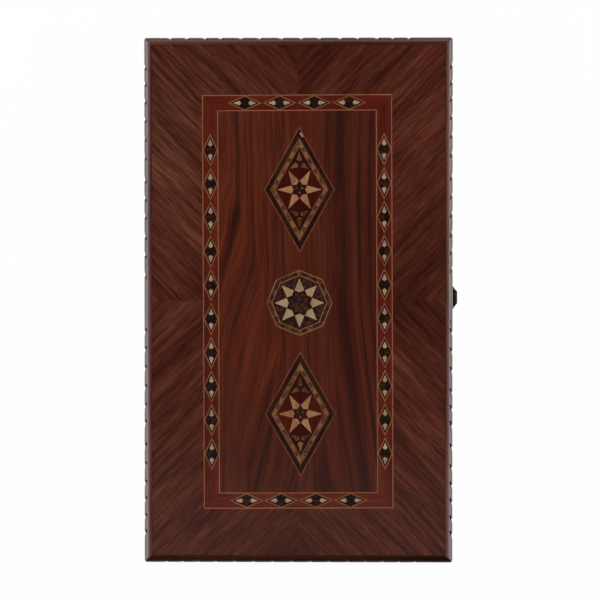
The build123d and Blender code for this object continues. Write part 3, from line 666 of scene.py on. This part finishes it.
# Seats of the two hinges in the hinge walls' mating faces, with a groove for the knuckles
HINGE_PLACES = (-150.5, 150.5)
SEAT_HALF = 19.0
SEAT_DEPTH = 12.2
GROOVE_HALF = 19.4
GROOVE_RADIUS = 2.4
GROOVE_DEPTH = 1.68
GROOVE_ROWS = 6
AXIS_OUT = 0.3
AXIS_HEIGHT = -0.15
LEAF_SINK = 1.2
OUTSIDE_STATE, GROOVE_STATE, SEAT_STATE = 0, 1, 2

# Places of the leaves' main cuts along each wall's rim, from the middle of the wall: those of the leaves
# that follow one another from the wall's start, then those of the leaves that follow from its end
NOTCHES = {
    "hinge": (
        (-216.5, -201.5, -185.6, -169.9, -152.7, -135.3, -113.6, -97.8, -80.3, -62.4, -44.8, -28.2),
        (216.6, 201.4, 184.9, 167.6, 150.0, 132.5, 111.2, 94.2, 77.4, 58.2, 41.2, 22.0),
    ),
    "latch": (
        (-218.3, -203.8, -187.9, -172.0, -155.7, -136.3, -115.6, -100.6, -84.9, -64.4, -46.6, -28.8),
        (218.5, 202.6, 187.5, 170.7, 153.4, 135.9, 114.3, 97.0, 79.8, 61.7, 45.0, 28.3),
    ),
    "rear": (
        (-118.0, -102.5, -85.6, -71.1, -51.7, -34.5, -13.7, 4.6, 21.5, 40.9, 56.8, 75.1, 89.9, 104.8),
        (),
    ),
    "front": (
        (-121.5, -106.9, -92.4, -75.5, -57.8, -40.0, -22.5, -4.5, 13.0, 30.5, 48.0, 64.5, 80.5, 96.0, 110.5),
        (),
    ),
}

# Scale of the pits and depth of the leaves on each side
PIT_SCALE = {"hinge": 1.0, "latch": 1.4, "rear": 0.8, "front": 0.7}
LEAF_DEPTH = {"hinge": 0.85, "latch": 0.85, "rear": 1.0, "front": 0.35}

# Shares of a leaf's width at which the mesh has a column, and those of its two veins and its main cut
LEAF_COLUMNS = (0.02, 0.04, 0.06, 0.09, 0.12, 0.19, 0.26, 0.295, 0.325, 0.355, 0.42, 0.49, 0.56, 0.60)
LEAF_COLUMNS += (0.63, 0.66, 0.72, 0.78, 0.84, 0.89, 0.925, 0.955, 0.975, 0.99)
VEINS = (0.325, 0.63)
VEIN_HALF_SHARE = 0.032
FALL_FROM = 0.66
CUT = 0.955
LOBES = (0.0, *VEINS, CUT)
USUAL_WIDTH = 17.0
NO_LEAF = -1.0

# Columns at a wall's end, before its leaves and just after them, by their distance from the end or the last
# cut; the gap before the first leaf; and the distance from the end at which the columns begin to lean
END_STEPS = (0.0, 0.25, 0.75, 1.1, 1.5, 1.9, 2.3, 2.9, 4.5, 8.0)
PLAIN_STEPS = (20.0, 30.0)
TAIL_STEPS = (0.3, 0.7, 1.2, 1.8)
TAIL_END = 2.6
FIRST_GAP = 3.0
LEAN_FROM = 9.0

# Depths of the cuts, and the lengths between which they fade out
VEIN_DEPTH = 0.38
LOBE_DEPTH = 0.34
PIT_DEPTH = 2.5
LINE_DEPTH = 0.75
OVER_HINGE_DEPTH = 0.85
RIM_OVER_HINGE_DEPTH = 3.0
TOOL_MARKS = 0.05
LEAF_FADE = (36.6, 39.8)
VEIN_FADE = (30.5, 34.5)
LINE_FADE = (26.0, 32.0)
OVER_HINGE_FADE = (34.5, 36.0)
LINE_HALF_WIDTH = 0.9

# Pits in the rim, one at each main cut: their place along the section, size and slant
PIT_PLACE = 37.0
PIT_HALF_WIDTH = 1.5
PIT_HALF_LENGTH = 1.35
PIT_SLANT = 0.7
NEXT_PIT_SHARE = 0.3

# Plain margin beside the joint
MARGIN = 3.2

# Lean of the leaves: most at the joint, none at one length along the section and a little back above it
LEAN = 12.0
UPRIGHT_FROM = 36.0
HOOK = 1.4

# Single curved cut on the latch side's rim
STROKE_START = -15.0
STROKE_LEAD = 1.2
STROKE_TOP = 38.2
STROKE_DROP = 3.0
STROKE_LENGTH = 11.0
STROKE_DEPTH = 0.9
STROKE_HALF_WIDTH = 0.9
STROKE_COLUMNS = 19
STROKE_STEP = 0.6

# Difference in depth at which a cut or a crest is fully coloured, and the depths that are painted dark by
# themselves: stain with painted shade in the deep holes
FULL_STEP = 0.35
DEEP_FROM = 0.8
DEEP_RANGE = 1.4

# Distance within which points are joined, in metres, and the angle from which an edge stays sharp
WELD = 0.000004
SHARP_ANGLE = math.radians(38)

# Distances from a wall's end within which its points move onto the mitre and the rounded corner
END_ZONE = 25.0
CORNER_ZONE = 8.5
SQUEEZE_FROM = 12.0
SQUEEZE = 3.4

Column = namedtuple("Column", "place share width lean state")
Row = namedtuple("Row", "part recess height length")


def smooth(value, low, high):
    """A value moved from the range low to high onto 0 to 1, with soft ends."""
    share = min(max((value - low) / (high - low), 0.0), 1.0)
    return share * share * (3 - 2 * share)


def leaf_relief(share, width, length, leaf_depth, pit_scale):
    """Depth of the carving at a share of a leaf's width and a length along the section."""
    fall = smooth(share, FALL_FROM, CUT) ** 1.3 if share <= CUT else 1 - smooth(share, CUT, 1.0)
    depth = leaf_depth * fall * (1 - smooth(length, *LEAF_FADE))
    vein_fade = 1 - smooth(length, *VEIN_FADE)
    for vein in VEINS:
        depth += VEIN_DEPTH * max(0.0, 1 - abs(share - vein) / VEIN_HALF_SHARE) * vein_fade
    for start, end in zip(LOBES, LOBES[1:]):
        if start <= share < end:
            from_middle = abs(2 * (share - start) / (end - start) - 1)
            depth += LOBE_DEPTH * from_middle**2.4 * vein_fade
    from_pit = (share if share < NEXT_PIT_SHARE else share - 1) * width
    off_pit = length - PIT_PLACE - PIT_SLANT * from_pit
    away = (abs(from_pit) / (PIT_HALF_WIDTH * pit_scale)) ** 2 + (abs(off_pit) / PIT_HALF_LENGTH) ** 2
    depth += PIT_DEPTH * max(0.0, 1 - away) ** 0.6
    line = max(0.0, 1 - abs(share - CUT) * width / LINE_HALF_WIDTH)
    depth += LINE_DEPTH * line * (1 - smooth(length, *LINE_FADE))
    return depth * smooth(length, MARGIN + 0.2, MARGIN + 2.0)


def stroke_relief(place, length):
    """Depth of the single curved cut on the latch side's rim, in the plain stretch beside the latch."""
    share = (STROKE_START - STROKE_LEAD - place) / STROKE_LENGTH
    if share <= 0 or share >= 1:
        return 0.0
    middle = STROKE_TOP - STROKE_DROP * share**1.6
    fade = min(share / 0.2, (1 - share) / 0.15, 1.0)
    return STROKE_DEPTH * fade * max(0.0, 1 - abs(length - middle) / STROKE_HALF_WIDTH)


def lean_of(length, way):
    """How far a column of the carving leans to one side at a length along the section."""
    low = max(0.0, (UPRIGHT_FROM - length) / UPRIGHT_FROM)
    hook = 0.35 * max(0.0, length - UPRIGHT_FROM)
    return way * (LEAN * low**1.8 - min(hook, HOOK))


def row_columns(notches):
    """Place from the wall's end, share, width and lean of each column, from that end over its leaves."""
    if not notches:
        return [(step, NO_LEAF, USUAL_WIDTH, 0) for step in END_STEPS + PLAIN_STEPS]
    leaves = []
    before = notches[0] - USUAL_WIDTH
    for index, notch in enumerate(notches):
        width = notch - before
        shares = [share for share in LEAF_COLUMNS if index > 0 or share >= FALL_FROM]
        leaves += [(before + share * width, share, width, 1) for share in shares]
        before = notch
    start = [*END_STEPS, leaves[0][0] - FIRST_GAP]
    columns = [(step, NO_LEAF, USUAL_WIDTH, int(step > LEAN_FROM)) for step in start] + leaves
    columns += [(before + step, step / USUAL_WIDTH, USUAL_WIDTH, 1) for step in TAIL_STEPS]
    columns.append((before + TAIL_END, NO_LEAF, USUAL_WIDTH, 1))
    return columns


def wall_columns(side, reach):
    """Columns of the mesh from one end of a wall to the other."""
    rows_of_leaves = []
    for notches, way in zip(NOTCHES[side], (1, -1)):
        columns = []
        for step, share, width, lean in row_columns([reach + way * place for place in notches]):
            columns.append(Column(way * (step - reach), share, width, -way * lean, OUTSIDE_STATE))
        rows_of_leaves.append(columns)
    left, right = rows_of_leaves
    places = []
    if side == "latch":
        places = [STROKE_START - STROKE_STEP * step for step in range(STROKE_COLUMNS)]
    if side in ("hinge", "latch"):
        start, end = left[-1].place, right[-1].place
        places += [start + (end - start) * share for share in (0.25, 0.5, 0.75)]
    middle = [Column(place, NO_LEAF, USUAL_WIDTH, 0, OUTSIDE_STATE) for place in places]
    return left + middle + right[::-1]


def seat_columns():
    """Doubled columns at the edges of each hinge's seat and groove, one for the section on each side."""
    columns = []
    for middle in HINGE_PLACES:
        for edge in (-1, 1):
            for half_seat, inner, outer in (
                (GROOVE_HALF, GROOVE_STATE, OUTSIDE_STATE),
                (SEAT_HALF, SEAT_STATE, GROOVE_STATE),
            ):
                states = (outer, inner) if edge < 0 else (inner, outer)
                place = middle + edge * half_seat
                columns += [Column(place, None, USUAL_WIDTH, 0, state) for state in states]
    return columns


def between_leaves(columns, index):
    """A hinge seat's column with the share, width and lean of the leaf columns on both sides of it."""
    column = columns[index]
    before = [other for other in columns[:index] if other.share is not None][-1]
    after = [other for other in columns[index:] if other.share is not None][0]
    share = before.share
    if abs(after.share - share) < 0.5 and after.place > before.place:
        share += (after.share - share) * (column.place - before.place) / (after.place - before.place)
    return column._replace(share=share, width=before.width, lean=before.lean)


def settle(columns):
    """Columns in order along the wall, each with the state of the section there."""
    columns = sorted(columns, key=lambda column: column.place)
    state = OUTSIDE_STATE
    settled = []
    for index, column in enumerate(columns):
        if column.share is None:
            state = column.state
            column = between_leaves(columns, index)
        settled.append(column._replace(state=state))
    return settled


def section_rows():
    """Rows of the section, from the inner edge of the joint round the outside to the inside of the rebate."""
    rows = [
        Row("joint", wall_thickness, 0.0, 0.0),
        Row("joint", SEAT_DEPTH, 0.0, 0.0),
        Row("seat", SEAT_DEPTH, 0.0, 0.0),
    ]
    for step in range(GROOVE_ROWS):
        share = step / (GROOVE_ROWS - 1)
        rows.append(Row("groove", GROOVE_DEPTH * (1 - share), 0.0, share))
    for step in range(OUTSIDE_ROWS):
        height = OUTSIDE_FROM + (STRAIGHT - OUTSIDE_FROM) * step / (OUTSIDE_ROWS - 1)
        rows.append(Row("outside", 0.0, height, height))
    for step in range(1, RIM_ROWS + 1):
        turn = math.pi / 2 * step / RIM_ROWS
        recess = RIM_RADIUS * (1 - math.cos(turn))
        rows.append(Row("rim", recess, STRAIGHT + RIM_RADIUS * math.sin(turn), STRAIGHT + RIM_RADIUS * turn))
    rows.append(Row("lip", LIP_WIDTH, wall_height, LIP_LENGTH))
    rows.append(Row("rebate", LIP_WIDTH, wall_height - REBATE, 0.0))
    rows.append(Row("rebate", wall_thickness, wall_height - REBATE, 0.0))
    return rows


def groove_section(share, state):
    """Recess and height of the knuckle groove at a share of its arc."""
    start_height = LEAF_SINK if state == SEAT_STATE else 0.0
    first = math.asin((start_height - AXIS_HEIGHT) / GROOVE_RADIUS)
    last = math.acos(AXIS_OUT / GROOVE_RADIUS)
    angle = first + (last - first) * share
    return GROOVE_RADIUS * math.cos(angle) - AXIS_OUT, AXIS_HEIGHT + GROOVE_RADIUS * math.sin(angle)


def corner_recess(recess, from_end):
    """Extra recess near a rounded corner, for a row with some recess at a distance from the wall's end."""
    radius = PLAN_RADIUS * (1 - smooth(recess, 3.6, RIM_WIDTH - 0.4))
    gap = radius - (from_end - recess)
    if radius <= 0.01 or gap <= 0:
        return 0.0
    gap = min(gap, radius)
    return radius - math.sqrt(max(radius * radius - gap * gap, 0.0))


def fit_to_end(place, along, part, recess, carved_recess, reach):
    """Place and recess of a point near its wall's end, moved onto the mitre and the rounded corner."""
    end = reach - recess
    from_end = reach - abs(place)
    along = min(max(along, -end), end)
    if recess > CORNER_ZONE:
        along = math.copysign(reach - END_ZONE + (END_ZONE - from_end) * (1 - recess / END_ZONE), place)
    elif abs(place) >= reach - CORNER_ZONE:
        along = math.copysign(end - from_end * (end - (reach - CORNER_ZONE)) / CORNER_ZONE, place)
    if recess < 0.01 or part in ("rim", "lip"):
        carved_recess += corner_recess(recess, reach - abs(along))
        if abs(along) > reach - carved_recess:
            along = math.copysign(reach - carved_recess, along)
    return along, carved_recess


def outside_depth(column, along, length, side, part, seed):
    """Depth of the carving and the tool marks at a point of the outside or the rim."""
    depth = stroke_relief(column.place, length) if side == "latch" and part == "rim" else 0.0
    if column.share >= 0:
        depth += leaf_relief(column.share, column.width, length, LEAF_DEPTH[side], PIT_SCALE[side])
        if column.state != OUTSIDE_STATE:
            depth = min(depth, OVER_HINGE_DEPTH + RIM_OVER_HINGE_DEPTH * smooth(length, *OVER_HINGE_FADE))
        wander = noise.noise(Vector((along * 0.11, length * 0.16, 0.0)) + seed)
        depth *= 1 + 0.22 * wander
    tool = noise.noise(Vector((along * 0.35, length * 0.30, 5.0)) + seed)
    return depth + TOOL_MARKS * (tool + 0.6) * smooth(length, 2.8, 4.5) * (1 - smooth(length, 38.0, 41.0))


def wall_point(column, row, side, reach, seed):
    """Place along the wall, recess, height and carved depth of the point where a column meets a row."""
    part, recess, height, length = row
    along = column.place
    depth = 0.0
    if part in ("outside", "rim"):
        along += lean_of(length, column.lean)
        from_end = reach - abs(along)
        if column.lean and from_end < SQUEEZE_FROM:
            squeezed = SQUEEZE_FROM - SQUEEZE + SQUEEZE * math.exp((from_end - SQUEEZE_FROM) / SQUEEZE)
            along = math.copysign(reach - squeezed, along)
        depth = outside_depth(column, along, length, side, part, seed)
    turn = (length - STRAIGHT) / RIM_RADIUS if part == "rim" else 0.0
    carved_recess = recess + depth * math.cos(turn)
    carved_height = height - depth * math.sin(turn)
    if part == "seat" and column.state == SEAT_STATE:
        carved_height = LEAF_SINK
    if part == "groove" and column.state != OUTSIDE_STATE:
        carved_recess, carved_height = groove_section(length, column.state)
    if reach - abs(column.place) < END_ZONE:
        along, carved_recess = fit_to_end(column.place, along, part, recess, carved_recess, reach)
    return along, carved_recess, carved_height, depth


def grid_faces(columns, rows):
    """Faces of a closed section swept along a number of columns, with a face at each end."""
    faces = []
    for column in range(columns - 1):
        here = column * rows
        after = here + rows
        for row in range(rows):
            above_row = (row + 1) % rows
            faces.append((here + row, after + row, after + above_row, here + above_row))
    faces.append(tuple(range(rows - 1, -1, -1)))
    faces.append(tuple((columns - 1) * rows + row for row in range(rows)))
    return faces


def hollows_and_crests(depths):
    """How far each point lies in a cut or on a crest, 0 to 1, from the depths by column and row."""
    spread = np.pad(depths, ((2, 2), (0, 0)), mode="edge")
    around = (spread[:-4] + spread[1:-3] + spread[3:-1] + spread[4:]) / 4
    hollow = np.clip((depths - around) / FULL_STEP, 0, 1)
    deep = np.clip((depths - DEEP_FROM) / DEEP_RANGE, 0, 1)
    crest = np.clip((around - depths) / FULL_STEP, 0, 1)
    return np.clip(hollow * 0.8 + deep, 0, 1), crest


def carved_wall(half, side):
    """One wall of one half with its carving, mitred ends and hinge seats, as a closed mesh."""
    long_side = side in ("hinge", "latch")
    outer, reach = (half_width, half_length) if long_side else (half_length, half_width)
    seed = Vector((outer, half_length if half == "lid" else 0.0, 10.0 if side in ("latch", "rear") else 0.0))
    rows = section_rows()
    columns = wall_columns(side, reach)
    if side == "hinge":
        columns += seat_columns()
    columns = settle(columns)
    points = [wall_point(column, row, side, reach, seed) for column in columns for row in rows]
    verts = []
    for place, recess, height in (point[:3] for point in points):
        out = outer - recess
        z = lid_joint + height if half == "lid" else base_joint - height
        across = -out if side in ("hinge", "front") else out
        x, y = (across, place) if long_side else (place, across)
        verts.append((x * MM, y * MM, z * MM))
    mesh = bpy.data.meshes.new(f"{half}_{side}_carving")
    mesh.from_pydata(verts, [], grid_faces(len(columns), len(rows)))
    depths = np.array([point[3] for point in points]).reshape(len(columns), len(rows))
    # Cut and ridge attributes: hollows take stain and painted shade in the walnut, crests go paler
    for name, values in zip(("cut", "ridge"), hollows_and_crests(depths)):
        attribute = mesh.attributes.new(name, "FLOAT", "POINT")
        attribute.data.foreach_set("value", values.reshape(-1).astype(np.float32))
    weld_and_smooth(mesh)
    made = bpy.data.objects.new(f"{half.title()}_{side}_carved_wall", mesh)
    bpy.context.scene.collection.objects.link(made)
    mesh.materials.append(walnut["y" if long_side else "x"])
    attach(made, half)
    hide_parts(f"{half}_{side}_wall")


def weld_and_smooth(mesh):
    """Joins points that fell together and shades the mesh smooth up to its sharp edges."""
    work = bmesh.new()
    work.from_mesh(mesh)
    bmesh.ops.remove_doubles(work, verts=work.verts, dist=WELD)
    bmesh.ops.dissolve_degenerate(work, edges=work.edges, dist=WELD)
    bmesh.ops.recalc_face_normals(work, faces=work.faces)
    for face in work.faces:
        face.smooth = True
    for edge in work.edges:
        if len(edge.link_faces) == 2 and edge.calc_face_angle(0.0) > SHARP_ANGLE:
            edge.smooth = False
    work.to_mesh(mesh)
    work.free()


walnut = {"x": carved_walnut("x"), "y": carved_walnut("y")}
for half in ("base", "lid"):
    for side in ("front", "rear", "hinge", "latch"):
        carved_wall(half, side)


# Floor: a plain pale sheet that keeps the case's shadow
FLOOR_REACH = 6
FLOOR_WHITE = 0.97


def floor_material():
    """Nearly white to the camera and in reflections, with a share of plain paint that takes the shadow."""
    tree = Tree("Pale_floor")
    x, y = tree.millimetres()[:2]
    cloud = tree.noise(tree.vector(tree.times(x, 0.004), tree.times(y, 0.004), 0.0), 3.0)
    colour = tree.ramp(cloud, [(0.3, (232, 232, 233)), (0.7, (238, 238, 238))])
    paint = tree.add("ShaderNodeBsdfDiffuse", {0: colour})
    glow = tree.add("ShaderNodeEmission", {0: (1, 1, 1, 1), 1: 1.0})
    rays = tree.add("ShaderNodeLightPath").outputs
    seen = tree.math("MAXIMUM", rays["Is Camera Ray"], rays["Is Glossy Ray"])
    seen = tree.math("MAXIMUM", seen, rays["Is Transmission Ray"])
    share = tree.times(seen, FLOOR_WHITE)
    both = tree.add("ShaderNodeMixShader", {0: share, 1: paint.outputs[0], 2: glow.outputs[0]})
    tree.add("ShaderNodeOutputMaterial", {0: both.outputs[0]})
    return tree.material


floor_mesh = bpy.data.meshes.new("Floor")
corners = [(x * FLOOR_REACH, y * FLOOR_REACH, 0) for x, y in ((-1, -1), (1, -1), (1, 1), (-1, 1))]
floor_mesh.from_pydata(corners, [], [(0, 1, 2, 3)])
floor_mesh.materials.append(floor_material())
floor = bpy.data.objects.new("Floor", floor_mesh)
bpy.context.scene.collection.objects.link(floor)

# World: a dim surround that looks white to the camera
world = bpy.data.worlds.new("Studio")
bpy.context.scene.world = world
world.use_nodes = True
surround = world.node_tree
surround.nodes.clear()
dim = surround.nodes.new("ShaderNodeBackground")
dim.inputs[0].default_value = (0.02, 0.02, 0.021, 1)
white = surround.nodes.new("ShaderNodeBackground")
white.inputs[0].default_value = (1, 1, 1, 1)
path = surround.nodes.new("ShaderNodeLightPath")
blend = surround.nodes.new("ShaderNodeMixShader")
output = surround.nodes.new("ShaderNodeOutputWorld")
surround.links.new(path.outputs["Is Camera Ray"], blend.inputs[0])
surround.links.new(dim.outputs[0], blend.inputs[1])
surround.links.new(white.outputs[0], blend.inputs[2])
surround.links.new(blend.outputs[0], output.inputs[0])
